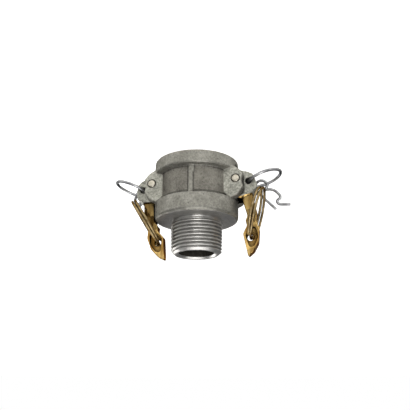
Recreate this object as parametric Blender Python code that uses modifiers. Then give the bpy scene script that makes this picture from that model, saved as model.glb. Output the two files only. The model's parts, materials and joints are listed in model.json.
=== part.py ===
"""A 1 inch cam and groove coupler with a male pipe thread, built as an assembly.

The body is a casting that stands on its mouth, thread up. Two cam arms turn on
pins between pairs of ears. Each arm carries a split pull ring at its tip, and a
plain ring through its head that holds a spring clip.

Z is the axis of the pipe, and the origin is the centre of the mouth. The arms
are on +X (right) and -X (left), and their pins lie along Y. Lengths are in
millimetres until MM turns them into metres.
"""

import math

import bmesh
import bpy
from mathutils import Matrix, Vector

MM = 0.001
TURN_STEPS = 64
WIRE_RESOLUTION = 2
MERGE = 0.00001
OVERCUT = 2.0

# Fits
seat_gap = 0.3
running_gap = 0.3

# Body casting
mouth_radius = 27.5
mouth_band = 8.0
waist_radius = 23.5
band_slope = 1.1
collar_bottom = 27.5
collar_height = 11.8
collar_radius = 27.0
collar_draft = 0.2
collar_round = 2.2
cast_round = 0.8
thread_length = 21.8
thread_pitch = 2.209
thread_depth = 1.35
thread_end_radius = 16.1
thread_root_radius = 16.75
thread_chamfer = 2.2
undercut_depth = 1.1
undercut_width = 1.6
rib_width = 2.6
rib_height = 0.9
rib_offset = -0.9
rib_foot_width = 3.6
rib_foot_height = 5.6

# Inside of the body: socket, gasket groove and waterway
socket_radius = 18.65
socket_depth = 27.4
mouth_chamfer = 0.9
groove_depth = 1.5
groove_corner = 0.4
gasket_thickness = 6.35
gasket_width = 6.35
gasket_round = 0.7
waterway_radius = 11.25
waterway_chamfer = 1.3

# Pivot pins and the ears that carry them
pin_radius = 2.38
pin_height = 15.5
pin_distance = 27.3
pin_head_rise = 0.5
pin_edge = 0.4
ear_slot = 12.8
ear_thickness = 6.3
ear_edge = 0.6
ear_reach = 5.1
ear_low = 9.6
ear_high = 13.7
ear_round = 2.0

# Cam arms
cam_reach = 11.7
cam_heel = 8.2
cam_clearance = 0.4
head_reach = 11.9
head_top = 9.8
arm_width = 12.2
arm_edge = 0.5
arm_round = 1.5
shank_width = 10.4
shank_thickness = 6.9
leaf_bottom = 28.5
leaf_reach = 4.8
leaf_lean = 7.0
leaf_width = 6.4
leaf_web = 2.6
clip_hole_out = 7.3
clip_hole_up = 1.9
ring_hole_in = 2.1
ring_hole_up = 36.9
tip_up = 48.5

# Split pull rings
pull_ring_radius = 16.6
pull_wire_radius = 0.85
pull_ring_turns = 1.9
coil_gap = 0.3

# Rings and spring clips
clip_ring_radius = 11.2
clip_wire_radius = 1.0
clip_reach = 21.6
clip_head_radius = 4.4

# How the moving pieces stand in the photograph, in degrees, and how far each clip's
# head has slid over its ring, in millimetres
SIDES = {
    "right": {"side": 1, "open": 0.0, "pull_twist": 10.0, "ring_drop": 20.5, "ring_twist": 3.0,
              "clip_hook": 90.0, "clip_trail": 10.0, "clip_rise": 5.0, "clip_roll": 90.0,
              "clip_seat": 1.9},
    "left": {"side": -1, "open": 15.0, "pull_twist": 0.0, "ring_drop": 18.5, "ring_twist": 0.0,
             "clip_hook": 70.0, "clip_trail": 88.6, "clip_rise": 62.3, "clip_roll": 48.0,
             "clip_seat": 1.2},
}

# Heights and radii that follow from the sizes above
collar_top = collar_bottom + collar_height
body_height = collar_top + thread_length
groove_radius = socket_radius + groove_depth
groove_height = gasket_thickness + 2 * seat_gap
thread_start = body_height - 0.8 * thread_chamfer
thread_finish = collar_top + undercut_width + undercut_depth
ear_inner = ear_slot / 2
ear_outer = ear_inner + ear_thickness
pin_half_length = ear_outer + pin_head_rise
pin_hole_radius = pin_radius + seat_gap
slot_reach = cam_reach + cam_clearance
arm_half = arm_width / 2
shank_inner = collar_radius + running_gap - pin_distance
shank_outer = shank_inner + shank_thickness
collar_over_pin = collar_top - pin_height
leaf_length = tip_up - leaf_bottom
clip_sagitta = clip_ring_radius - math.sqrt(clip_ring_radius ** 2 - arm_half ** 2)
clip_hole_radius = clip_wire_radius + clip_sagitta / 2 + running_gap
clip_ring_centre = clip_ring_radius - clip_sagitta / 2
coil_pitch = 2 * pull_wire_radius + coil_gap
ring_hole_radius = coil_pitch / 2 + pull_wire_radius + running_gap


def fresh_collection(name):
    """Returns a new collection of that name, linked to the scene."""
    collection = bpy.data.collections.new(name)
    bpy.context.scene.collection.children.link(collection)
    return collection


def plain_material(name, colour, roughness, metallic):
    """Returns a Principled material with one colour."""
    material = bpy.data.materials.new(name)
    material.use_nodes = True
    shader = material.node_tree.nodes["Principled BSDF"]
    shader.inputs["Base Color"].default_value = (*colour, 1.0)
    shader.inputs["Roughness"].default_value = roughness
    shader.inputs["Metallic"].default_value = metallic
    return material


def rounded(corners, segments=4):
    """Returns the points of an outline whose corners (x, y, radius) are rounded by arcs."""
    points = []
    count = len(corners)
    for index, (x, y, radius) in enumerate(corners):
        here = Vector((x, y))
        before = Vector(corners[index - 1][:2]) - here
        after = Vector(corners[(index + 1) % count][:2]) - here
        angle = before.angle(after)
        if radius <= 0 or abs(math.pi - angle) < 0.02:
            points.append((x, y))
            continue
        reach = min(radius / math.tan(angle / 2), 0.49 * before.length, 0.49 * after.length)
        fillet = reach * math.tan(angle / 2)
        middle = (before.normalized() + after.normalized()).normalized()
        centre = here + middle * (fillet / math.sin(angle / 2))
        start = here + before.normalized() * reach - centre
        end = here + after.normalized() * reach - centre
        sweep = start.angle_signed(end)
        for step in range(segments + 1):
            turn = Matrix.Rotation(-sweep * step / segments, 2)
            points.append(tuple(centre + turn @ start))
    return points


def mesh_from_curve(curve_object, collection):
    """Replaces a curve object by the same shape as a mesh with welded caps."""
    name = curve_object.name
    graph = bpy.context.evaluated_depsgraph_get()
    mesh = bpy.data.meshes.new_from_object(curve_object.evaluated_get(graph))
    welded = bmesh.new()
    welded.from_mesh(mesh)
    bmesh.ops.remove_doubles(welded, verts=welded.verts, dist=MERGE)
    bmesh.ops.recalc_face_normals(welded, faces=welded.faces)
    welded.to_mesh(mesh)
    welded.free()
    place = curve_object.matrix_world.copy()
    bpy.data.objects.remove(curve_object)
    piece = bpy.data.objects.new(name, mesh)
    piece.matrix_world = place
    collection.objects.link(piece)
    return piece


def plate(name, outline, half_width, collection, along="Y", edge=0.0):
    """Returns a flat plate as a mesh.

    The outline is in (x, z) and the plate is 2 * half_width thick along Y, or the
    outline is in (y, z) and the plate is that thick along X. Its edges are rounded
    by the given radius, inside the outline.
    """
    curve = bpy.data.curves.new(name, "CURVE")
    curve.dimensions = "2D"
    curve.fill_mode = "BOTH"
    curve.extrude = (half_width - edge) * MM
    curve.bevel_depth = edge * MM
    curve.bevel_resolution = 1
    curve.offset = -edge * MM
    spline = curve.splines.new("POLY")
    spline.points.add(len(outline) - 1)
    for point, (x, y) in zip(spline.points, outline):
        point.co = (x * MM, y * MM, 0.0, 1.0)
    spline.use_cyclic_u = True
    flat = bpy.data.objects.new(name, curve)
    collection.objects.link(flat)
    bpy.context.view_layer.update()
    piece = mesh_from_curve(flat, collection)
    turn = Matrix.Rotation(math.radians(90), 4, "X")
    if along == "X":
        turn = Matrix.Rotation(math.radians(90), 4, "Z") @ turn
    piece.data.transform(turn)
    return piece


def turned(name, profile, collection, closed=False):
    """Returns a turned solid from a profile (radius, z) that runs down its outer side."""
    points = [(radius * MM, 0.0, height * MM) for radius, height in profile]
    edges = [(index, index + 1) for index in range(len(points) - 1)]
    if closed:
        edges.append((len(points) - 1, 0))
    mesh = bpy.data.meshes.new(name)
    mesh.from_pydata(points, edges, [])
    piece = bpy.data.objects.new(name, mesh)
    collection.objects.link(piece)
    screw = piece.modifiers.new("turn", "SCREW")
    screw.axis = "Z"
    screw.steps = TURN_STEPS
    screw.render_steps = TURN_STEPS
    screw.use_merge_vertices = True
    screw.merge_threshold = MERGE
    screw.use_smooth_shade = False
    return piece


def rod(name, radius, half_length, collection, sides=32):
    """Returns a cylinder along Y, centred on its own origin."""
    bpy.ops.mesh.primitive_cylinder_add(
        vertices=sides, radius=radius * MM, depth=2 * half_length * MM)
    piece = bpy.context.object
    piece.name = name
    piece.data.transform(Matrix.Rotation(math.radians(90), 4, "X"))
    move_to(piece, collection)
    return piece


def block(name, low, high, collection):
    """Returns a box between two corners."""
    bpy.ops.mesh.primitive_cube_add(size=1.0)
    piece = bpy.context.object
    piece.name = name
    size = [(b - a) * MM for a, b in zip(low, high)]
    middle = [(a + b) / 2 * MM for a, b in zip(low, high)]
    piece.data.transform(Matrix.Translation(middle) @ Matrix.Diagonal((*size, 1.0)))
    move_to(piece, collection)
    return piece


def wire(name, path, radius, collection, cyclic=False):
    """Returns a round wire along a path of points, as a curve."""
    curve = bpy.data.curves.new(name, "CURVE")
    curve.dimensions = "3D"
    curve.bevel_depth = radius * MM
    curve.bevel_resolution = WIRE_RESOLUTION
    curve.use_fill_caps = True
    spline = curve.splines.new("POLY")
    spline.points.add(len(path) - 1)
    for point, place in zip(spline.points, path):
        point.co = (*(value * MM for value in place), 1.0)
    spline.use_cyclic_u = cyclic
    piece = bpy.data.objects.new(name, curve)
    collection.objects.link(piece)
    return piece


def move_to(piece, collection):
    """Moves an object out of the collections it is in, to the given one."""
    for old in list(piece.users_collection):
        old.objects.unlink(piece)
    collection.objects.link(piece)


def combine(piece, other, operation):
    """Adds a live Boolean to piece, and marks the other object as a cutter."""
    boolean = piece.modifiers.new(f"{operation.lower()} {other.name}", "BOOLEAN")
    boolean.object = other
    boolean.operation = operation
    boolean.solver = "EXACT"
    other.hide_render = True
    other.display_type = "WIRE"


def soften(piece, width, angle=35.0):
    """Adds a small bevel to the sharp edges of an object."""
    bevel = piece.modifiers.new("edges", "BEVEL")
    bevel.width = width * MM
    bevel.segments = 2
    bevel.limit_method = "ANGLE"
    bevel.angle_limit = math.radians(angle)
    bevel.use_clamp_overlap = True


def pivot(name, place, parent, collection):
    """Returns an empty on a joint's axis, at a place in its parent's frame."""
    empty = bpy.data.objects.new(name, None)
    empty.empty_display_size = 4 * MM
    collection.objects.link(empty)
    empty.parent = parent
    empty.location = [value * MM for value in place]
    return empty


def carry(empty, *pieces):
    """Parents pieces that are modelled around a pivot to that pivot."""
    for piece in pieces:
        piece.parent = empty


def arc(centre, radius, start, end, steps):
    """Returns points on an arc, by its angles in degrees."""
    angles = [math.radians(start + (end - start) * step / steps) for step in range(steps + 1)]
    return [(centre[0] + radius * math.cos(a), centre[1] + radius * math.sin(a)) for a in angles]


def thread_profile():
    """Returns the crests and roots of the pipe thread as rings, from its end down."""
    taper = (thread_root_radius - thread_end_radius) / thread_length
    points = []
    for index in range(int((thread_start - thread_finish) / thread_pitch) + 1):
        crest = thread_start - index * thread_pitch
        root = crest - thread_pitch / 2
        radius = thread_end_radius + taper * (body_height - crest)
        points += [(radius, crest), (radius - thread_depth, root)]
    return points


def body_profile():
    """Returns the outside of the body, down from the thread's end to the mouth."""
    neck = thread_root_radius - undercut_depth
    collar_side = collar_radius + collar_draft
    return [
        (0.0, body_height),
        (thread_end_radius - thread_chamfer, body_height),
        *thread_profile(),
        (neck, collar_top + undercut_width),
        (neck, collar_top + groove_corner),
        (neck + groove_corner, collar_top),
        *arc((collar_radius - collar_round, collar_top - collar_round), collar_round, 90, 0, 5),
        *arc((collar_side - cast_round, collar_bottom + cast_round), cast_round, 0, -90, 2),
        (waist_radius + cast_round, collar_bottom),
        (waist_radius, collar_bottom - cast_round),
        (waist_radius, mouth_band + band_slope + cast_round),
        (waist_radius + 0.6 * cast_round, mouth_band + band_slope),
        (mouth_radius - 0.6 * cast_round, mouth_band + 0.5 * cast_round),
        (mouth_radius, mouth_band - 0.4 * cast_round),
        *arc((mouth_radius - cast_round, cast_round), cast_round, 0, -90, 3),
        (0.0, 0.0),
    ]


def hollow_profile():
    """Returns the inside of the body, down from beyond the thread's end to below the mouth."""
    groove_top = socket_depth + groove_height
    return [
        (0.0, body_height + OVERCUT),
        (waterway_radius + waterway_chamfer + OVERCUT, body_height + OVERCUT),
        (waterway_radius, body_height - waterway_chamfer),
        (waterway_radius, groove_top + waterway_chamfer),
        (waterway_radius + waterway_chamfer, groove_top),
        (groove_radius - groove_corner, groove_top),
        (groove_radius, groove_top - groove_corner),
        (groove_radius, socket_depth + groove_corner),
        (groove_radius - groove_corner, socket_depth),
        (socket_radius, socket_depth),
        (socket_radius, mouth_chamfer),
        (socket_radius + mouth_chamfer + OVERCUT, -OVERCUT),
        (0.0, -OVERCUT),
    ]


def scaled(shares, across, up, fillet):
    """Returns outline corners from shares of a width, a height and a fillet."""
    return [(x * across, z * up, radius * fillet) for x, z, radius in shares]


def ear_outline(side):
    """Returns an ear's outline around the pin: x away from the axis, z up."""
    wall = 0.93 * socket_radius - pin_distance
    low = [(-1.18, -0.79, 1.0), (-0.49, -1.0, 0.75), (0.33, -0.73, 1.25), (1.0, -0.34, 1.1)]
    high = [(0.75, 0.07, 1.25), (0.96, 0.42, 1.25), (0.29, 0.79, 1.25), (-0.98, 1.0, 0.75),
            (-1.41, 0.66, 1.0)]
    corners = [(wall, -0.83 * ear_low, 0.0)]
    corners += scaled(low, ear_reach, ear_low, ear_round)
    corners += scaled(high, ear_reach, ear_high, ear_round)
    corners += [(wall, 0.66 * ear_high, 0.0)]
    return [(side * x, z) for x, z in rounded(corners)]


def make_body(parts, cutters, material):
    """Returns the casting with its ears, ribs, slots, socket and waterway."""
    body = turned("body", body_profile(), parts)
    for side in (1, -1):
        for front in (1, -1):
            name = f"ear_{'right' if side > 0 else 'left'}_{'rear' if front > 0 else 'front'}"
            ear = plate(name, ear_outline(side), (ear_thickness + OVERCUT) / 2, cutters,
                        edge=ear_edge)
            middle = front * (ear_outer - (ear_thickness + OVERCUT) / 2)
            ear.location = (side * pin_distance * MM, middle * MM, pin_height * MM)
            combine(body, ear, "UNION")
    for front in (1, -1):
        word = "rear" if front > 0 else "front"
        start = -front * rib_offset - front * rib_width / 2
        near, far = sorted((front * (waist_radius - OVERCUT), front * (waist_radius + rib_height)))
        ribs = {"rib": (rib_width, collar_bottom + cast_round),
                "rib_foot": (rib_foot_width, mouth_band + rib_foot_height)}
        for name, (width, top) in ribs.items():
            left, right = sorted((start, start + front * width))
            rib = block(f"{name}_{word}", (left, near, mouth_band - cast_round),
                        (right, far, top), cutters)
            combine(body, rib, "UNION")
    combine(body, turned("hollow", hollow_profile(), cutters), "DIFFERENCE")
    for side in (1, -1):
        word = "right" if side > 0 else "left"
        near, far = sorted((side * (socket_radius - 4.0), side * (mouth_radius + 8.0)))
        slot = block(f"cam_slot_{word}",
                     (near, -ear_inner, pin_height - slot_reach),
                     (far, ear_inner, pin_height + slot_reach), cutters)
        combine(body, slot, "DIFFERENCE")
        hole = rod(f"pin_hole_{word}", pin_hole_radius, ear_outer + OVERCUT, cutters)
        hole.location = (side * pin_distance * MM, 0.0, pin_height * MM)
        combine(body, hole, "DIFFERENCE")
    body.data.materials.append(material)
    return body


def make_gasket(parts, material):
    """Returns the rubber gasket in its groove."""
    outer = groove_radius - seat_gap
    inner = outer - gasket_width
    low, high = socket_depth + seat_gap, socket_depth + seat_gap + gasket_thickness
    corners = [(outer, high, gasket_round), (outer, low, gasket_round),
               (inner, low, gasket_round), (inner, high, gasket_round)]
    gasket = turned("gasket", rounded(corners, 1), parts, closed=True)
    gasket.data.materials.append(material)
    return gasket


def make_pin(word, side, parts, material):
    """Returns a pivot pin with chamfered ends, held in its pair of ears."""
    pin = rod(f"{word}_pivot_pin", pin_radius, pin_half_length, parts)
    pin.location = (side * pin_distance * MM, 0.0, pin_height * MM)
    soften(pin, pin_edge)
    pin.data.materials.append(material)
    return pin


def leaf_corners(shares):
    """Returns outline corners on the arm's leaf tip.

    The shares are of the leaf's reach outward (or of its lean inward, where they are
    negative), of its length and of the arm's fillets.
    """
    return [(x * (leaf_reach if x > 0 else leaf_lean), leaf_bottom + z * leaf_length,
             radius * arm_round) for x, z, radius in shares]


def arm_outline(side):
    """Returns the side outline of a closed arm around its pin: head, shank and leaf tip."""
    corners = [
        (0.76 * head_reach, -0.36 * cam_reach, 0.0),
        (0.95 * head_reach, -0.17 * cam_reach, arm_round),
        (head_reach, 0.26 * head_top, arm_round),
        (0.97 * head_reach, 0.82 * head_top, 0.8 * arm_round),
        (1.1 * shank_outer, head_top, arm_round),
        (shank_outer, 1.33 * head_top, arm_round),
        (0.95 * shank_outer, 0.92 * collar_over_pin, arm_round),
    ]
    corners += leaf_corners([
        (0.9, 0.0, 1.3), (1.0, 0.275, 2.0), (0.4, 0.655, 3.3), (-0.36, 0.895, 2.6),
        (-1.0, 1.0, 0.5), (-0.94, 0.725, 2.6), (-0.86, 0.255, 2.0), (-0.3, 0.035, 1.3),
    ])
    corners += [
        (-0.3 * leaf_lean, collar_over_pin + 0.32 * shank_thickness, 0.8 * arm_round),
        (shank_inner, collar_over_pin - running_gap, 0.8 * arm_round),
        (shank_inner, 1.18 * head_top, arm_round),
        (-0.34 * cam_reach, head_top, 0.0),
    ]
    corners += [(x, z, 0.0) for x, z in arc((0, 0), cam_reach, 142, 192, 10)]
    corners += [(x, z, 0.0) for x, z in arc((0, 0), cam_heel, 226, 300, 8)]
    return [(side * x, z) for x, z in rounded(corners, 3)]


def arm_front_outline():
    """Returns an arm's outline seen from the side that its back faces: y across, z up."""
    wide, narrow, thin = arm_half, shank_width / 2, leaf_width / 2
    half = [
        (wide, -cam_reach - OVERCUT), (wide, 0.98 * head_top), (narrow, 1.16 * head_top),
        (narrow, 0.83 * collar_over_pin), (thin, leaf_bottom),
        (thin, leaf_bottom + 0.775 * leaf_length), (0.75 * thin, tip_up + OVERCUT),
    ]
    return half + [(-y, z) for y, z in reversed(half)]


def bowl_outline(side):
    """Returns the outline of the shallow bowl around the ring hole in an arm's leaf."""
    corners = leaf_corners([
        (0.65, 0.15, 1.7), (0.54, 0.475, 1.7), (-0.17, 0.735, 1.7), (-0.66, 0.745, 1.3),
        (-0.66, 0.355, 1.3), (-0.17, 0.105, 1.7),
    ])
    return [(side * x, z) for x, z in rounded(corners)]


def make_arm(word, side, parts, cutters, material):
    """Returns a cam arm, closed, around its pin."""
    arm = plate(f"{word}_arm", arm_outline(side), arm_half, parts, edge=arm_edge)
    front = plate(f"{word}_arm_front", arm_front_outline(), 20.0, cutters, "X")
    combine(arm, front, "INTERSECT")
    for cheek in (1, -1):
        depth = (leaf_width - leaf_web) / 4
        bowl = plate(f"{word}_bowl_{cheek}", bowl_outline(side), depth + OVERCUT / 2, cutters)
        bowl.location.y = cheek * (leaf_web / 2 + depth + OVERCUT / 2) * MM
        combine(arm, bowl, "DIFFERENCE")
        carry(arm, bowl)
    holes = {
        "pin": (0.0, 0.0, pin_radius + running_gap),
        "clip": (clip_hole_out, clip_hole_up, clip_hole_radius),
        "ring": (-ring_hole_in, ring_hole_up, ring_hole_radius),
    }
    for use, (out, up, radius) in holes.items():
        hole = rod(f"{word}_arm_{use}_hole", radius, arm_half + OVERCUT, cutters, 24)
        hole.location = (side * out * MM, 0.0, up * MM)
        combine(arm, hole, "DIFFERENCE")
        carry(arm, hole)
    carry(arm, front)
    arm.data.materials.append(material)
    return arm


def pull_ring_lean(twist):
    """Returns the angle at which a pull ring leans on the outer corner of its arm's head."""
    out, down = 0.97 * head_reach + ring_hole_in, ring_hole_up - 0.82 * head_top
    clear = (coil_pitch / 2 + pull_wire_radius + 2 * seat_gap
             + arm_half * math.sin(math.radians(twist)))
    return math.atan2(out, down) + math.asin(clear / math.hypot(out, down))


def pull_ring_path(twist):
    """Returns the wire of a split ring around its hinge: two coils, hanging and leaning out."""
    lean = pull_ring_lean(twist)
    hang = Vector((math.sin(lean), 0.0, -math.cos(lean)))
    turn = Matrix.Rotation(math.radians(-twist), 3, hang)
    across = turn @ Vector((0.0, 1.0, 0.0))
    normal = turn @ Vector((math.cos(lean), 0.0, math.sin(lean)))
    steps = 60
    path = []
    for step in range(steps + 1):
        share = step / steps - 0.5
        angle = math.pi + share * 2 * math.pi * pull_ring_turns
        lift = max(-0.5, min(0.5, 2.1 * share * pull_ring_turns / (pull_ring_turns - 1)))
        path.append(hang * pull_ring_radius * (1 + math.cos(angle))
                    + across * pull_ring_radius * math.sin(angle) + normal * coil_pitch * lift)
    return path


def make_pull_ring(word, side, twist, parts, material):
    """Returns a split pull ring around the hole in its arm's tip."""
    path = [(side * place.x, place.y, place.z) for place in pull_ring_path(twist)]
    ring = wire(f"{word}_pull_ring", path, pull_wire_radius, parts)
    ring.data.materials.append(material)
    return ring


def clip_ring_axes(stance):
    """Returns a clip ring's own axes on its arm: away from the hole, across it, and its normal."""
    drop = math.radians(stance["ring_drop"] - stance["open"])
    away = Vector((math.cos(drop), 0.0, -math.sin(drop)))
    turn = Matrix.Rotation(math.radians(stance["ring_twist"]), 3, away)
    normal = turn @ Vector((math.sin(drop), 0.0, math.cos(drop)))
    return away, turn @ Vector((0.0, 1.0, 0.0)), normal


def make_clip_ring(word, stance, parts, material):
    """Returns the plain ring around the hole in its arm's head."""
    away, across, _ = clip_ring_axes(stance)
    path = []
    for step in range(48):
        angle = math.radians(360 * step / 48)
        place = (away * (clip_ring_centre + clip_ring_radius * math.cos(angle))
                 + across * clip_ring_radius * math.sin(angle))
        path.append((stance["side"] * place.x, place.y, place.z))
    ring = wire(f"{word}_clip_ring", path, clip_wire_radius, parts, cyclic=True)
    ring.data.materials.append(material)
    return ring


def clip_path():
    """Returns a spring clip around its head: straight leg, round head, neck, arch and flare."""
    straight = [(0.776 * clip_reach, -clip_head_radius), (0.4 * clip_reach, -clip_head_radius)]
    head = arc((0.0, 0.0), clip_head_radius, -90, -295, 14)
    shares = [(0.15, 0.04), (0.19, 0.07), (0.25, 0.135), (0.34, 0.185), (0.44, 0.205),
              (0.54, 0.20), (0.61, 0.185), (0.65, 0.135), (0.64, 0.07), (0.645, 0.01),
              (0.69, -0.015), (0.76, -0.01), (0.87, 0.08), (1.0, 0.205)]
    knots = [(x * clip_reach, y * clip_reach) for x, y in shares]
    return straight + head + smooth([head[-1]] + knots, 3)[1:]


def smooth(knots, steps):
    """Returns a smooth line through knots in a plane."""
    points = []
    last = len(knots) - 1
    for index in range(last):
        before = Vector(knots[max(index - 1, 0)])
        start, end = Vector(knots[index]), Vector(knots[index + 1])
        after = Vector(knots[min(index + 2, last)])
        for step in range(steps):
            t = step / steps
            points.append(tuple(0.5 * (2 * start + (end - before) * t
                          + (2 * before - 5 * start + 4 * end - after) * t * t
                          + (3 * start - before - 3 * end + after) * t ** 3)))
    return points + [tuple(knots[-1])]


def clip_frame(stance):
    """Returns where a clip hooks on its ring, and the clip's own axes there."""
    away, sideways, normal = clip_ring_axes(stance)
    hook = math.radians(180 - stance["clip_hook"])
    outward = away * math.cos(hook) + sideways * math.sin(hook)
    along = away * math.sin(hook) - sideways * math.cos(hook)
    centre = away * clip_ring_centre + outward * clip_ring_radius
    trail, rise, roll = (
        math.radians(stance[turn]) for turn in ("clip_trail", "clip_rise", "clip_roll"))
    flat = outward * math.cos(trail) + along * math.sin(trail)
    level = along * math.cos(trail) - outward * math.sin(trail)
    length = flat * math.cos(rise) + normal * math.sin(rise)
    return centre, length, Matrix.Rotation(roll, 3, length) @ level


def make_clip(word, stance, parts, material):
    """Returns a spring clip around the point where it hangs on its ring."""
    side = stance["side"]
    _, length, across = clip_frame(stance)
    path = []
    for x, y in clip_path():
        place = length * (x + stance["clip_seat"]) + across * y
        path.append((side * place.x, place.y, place.z))
    clip = wire(f"{word}_safety_clip", path, clip_wire_radius, parts)
    clip.data.materials.append(material)
    return clip


def main():
    """Builds the coupler."""
    for old in list(bpy.data.objects):
        bpy.data.objects.remove(old)
    parts = fresh_collection("cam_and_groove_coupler")
    cutters = fresh_collection("cutters")
    cast = plain_material("cast aluminium", (0.30, 0.28, 0.25), 0.55, 0.9)
    rubber = plain_material("nitrile rubber", (0.02, 0.02, 0.02), 0.8, 0.0)
    gold = plain_material("yellow brass", (0.55, 0.36, 0.08), 0.3, 1.0)
    steel = plain_material("bright steel wire", (0.55, 0.55, 0.55), 0.25, 1.0)
    pin_steel = plain_material("stainless pin", (0.62, 0.60, 0.54), 0.35, 1.0)
    body = make_body(parts, cutters, cast)
    carry(body, make_gasket(parts, rubber))
    for word, stance in SIDES.items():
        side = stance["side"]
        pin = make_pin(word, side, parts, pin_steel)
        carry(body, pin)
        hinge = pivot(f"{word}_arm_pivot", (side * pin_distance, 0, pin_height), body, parts)
        hinge.rotation_euler.y = side * math.radians(stance["open"])
        arm = make_arm(word, side, parts, cutters, gold)
        carry(hinge, arm)
        tip = pivot(f"{word}_pull_ring_pivot", (-side * ring_hole_in, 0, ring_hole_up),
                    hinge, parts)
        carry(tip, make_pull_ring(word, side, stance["pull_twist"], parts, gold))
        head = pivot(f"{word}_clip_ring_pivot", (side * clip_hole_out, 0, clip_hole_up),
                     hinge, parts)
        carry(head, make_clip_ring(word, stance, parts, steel))
        hook, _, _ = clip_frame(stance)
        catch = pivot(f"{word}_safety_clip_pivot", (side * hook.x, hook.y, hook.z), head, parts)
        carry(catch, make_clip(word, stance, parts, steel))


main()
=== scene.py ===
"""Looks of a 1 inch cam and groove coupler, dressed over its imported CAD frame.

The body is one sand casting with a cut pipe thread. Two brass cam arms turn on
pins between its ears, and carry split pull rings and wire rings with spring
clips. The coupler stands on its mouth with the thread up, and the photograph
was taken the other way up, so the camera is rolled half a turn.

Lengths are in millimetres until MM turns them into metres. The pipe axis is Z,
the arms are on +X (right) and -X (left), and their pins lie along Y.
"""

import json
import logging
import math
from dataclasses import dataclass
from enum import Enum

import bmesh
import bpy
import numpy as np
from mathutils import Matrix, Vector

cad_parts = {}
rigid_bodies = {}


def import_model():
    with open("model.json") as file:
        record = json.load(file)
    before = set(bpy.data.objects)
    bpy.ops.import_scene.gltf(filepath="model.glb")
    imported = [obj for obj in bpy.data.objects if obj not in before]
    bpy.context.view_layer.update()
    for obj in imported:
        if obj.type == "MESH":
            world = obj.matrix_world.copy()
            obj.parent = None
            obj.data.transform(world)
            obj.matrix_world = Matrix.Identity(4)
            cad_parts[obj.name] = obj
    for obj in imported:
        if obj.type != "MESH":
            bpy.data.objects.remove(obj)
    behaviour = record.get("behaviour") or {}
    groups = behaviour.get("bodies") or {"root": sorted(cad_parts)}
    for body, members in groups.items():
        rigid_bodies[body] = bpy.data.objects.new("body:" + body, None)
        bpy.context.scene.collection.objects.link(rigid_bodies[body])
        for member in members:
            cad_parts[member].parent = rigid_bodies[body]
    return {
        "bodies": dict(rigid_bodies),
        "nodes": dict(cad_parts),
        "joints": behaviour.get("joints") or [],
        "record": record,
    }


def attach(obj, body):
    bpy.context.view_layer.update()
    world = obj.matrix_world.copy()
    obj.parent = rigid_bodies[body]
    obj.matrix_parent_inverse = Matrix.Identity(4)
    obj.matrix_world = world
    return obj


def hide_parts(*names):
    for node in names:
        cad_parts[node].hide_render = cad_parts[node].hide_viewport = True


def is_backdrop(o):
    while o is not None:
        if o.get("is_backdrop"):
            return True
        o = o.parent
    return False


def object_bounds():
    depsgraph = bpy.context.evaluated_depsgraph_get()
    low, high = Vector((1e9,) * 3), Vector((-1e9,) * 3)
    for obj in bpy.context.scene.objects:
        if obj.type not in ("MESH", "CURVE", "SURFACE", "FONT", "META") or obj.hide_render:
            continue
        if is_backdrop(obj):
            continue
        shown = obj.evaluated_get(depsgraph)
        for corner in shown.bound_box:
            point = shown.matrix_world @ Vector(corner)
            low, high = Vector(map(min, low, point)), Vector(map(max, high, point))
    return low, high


Piece = bpy.types.Object
Tree = bpy.types.NodeTree
Socket = bpy.types.NodeSocket
Outline = list[tuple[float, float]]

LOG = logging.getLogger("coupler")
MM = 0.001
FULL_TURN = 2 * math.pi
# Points nearer than this, in metres, are one.
MERGE = 0.000001
# A wire that starts steeper than this gets its section from X instead of from Z.
STEEP = 0.9
SOFTEN = 0.5
PIN_DISTANCE = 27.3
PIN_HEIGHT = 15.5

# What part of a pattern's range a finish uses: most of a noise, the busy middle of it, the
# sharpness of an edge from flat to worn, and a place's air from narrow (painted shade) to open.
NOISE_SPREAD = {"From Min": 0.3, "From Max": 0.7}
NOISE_CORE = {"From Min": 0.35, "From Max": 0.65}
FLAT_TO_SHARP = {"From Min": 0.5, "From Max": 0.54}
NARROW_TO_OPEN = {"From Min": 0.58, "From Max": 0.86}


class Side(Enum):
    """The two sides of the coupler, by the sign of X."""

    RIGHT = 1
    LEFT = -1

    @property
    def word(self) -> str:
        """Returns the side's name as the CAD nodes and bodies spell it."""
        return self.name.lower()


class Axis(Enum):
    """The axis that a turned piece lies along: which of its numbers go to X, Y and Z."""

    Z = (0, 1, 2)
    Y = (0, 2, 1)


class Zone(Enum):
    """The parts of the casting's skin, by their material slot."""

    CAST = 0
    TURNED = 1
    GROUND = 2
    WATERWAY = 3
    PANEL = 4
    SEAM = 5


def new_piece(name: str, mesh: bpy.types.Mesh) -> Piece:
    """Links a mesh to the scene as a piece.

    Args:
        name: the piece's name
        mesh: its mesh, in metres

    Returns:
        The new object, at the origin.
    """
    piece = bpy.data.objects.new(name, mesh)
    bpy.context.scene.collection.objects.link(piece)
    return piece


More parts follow.
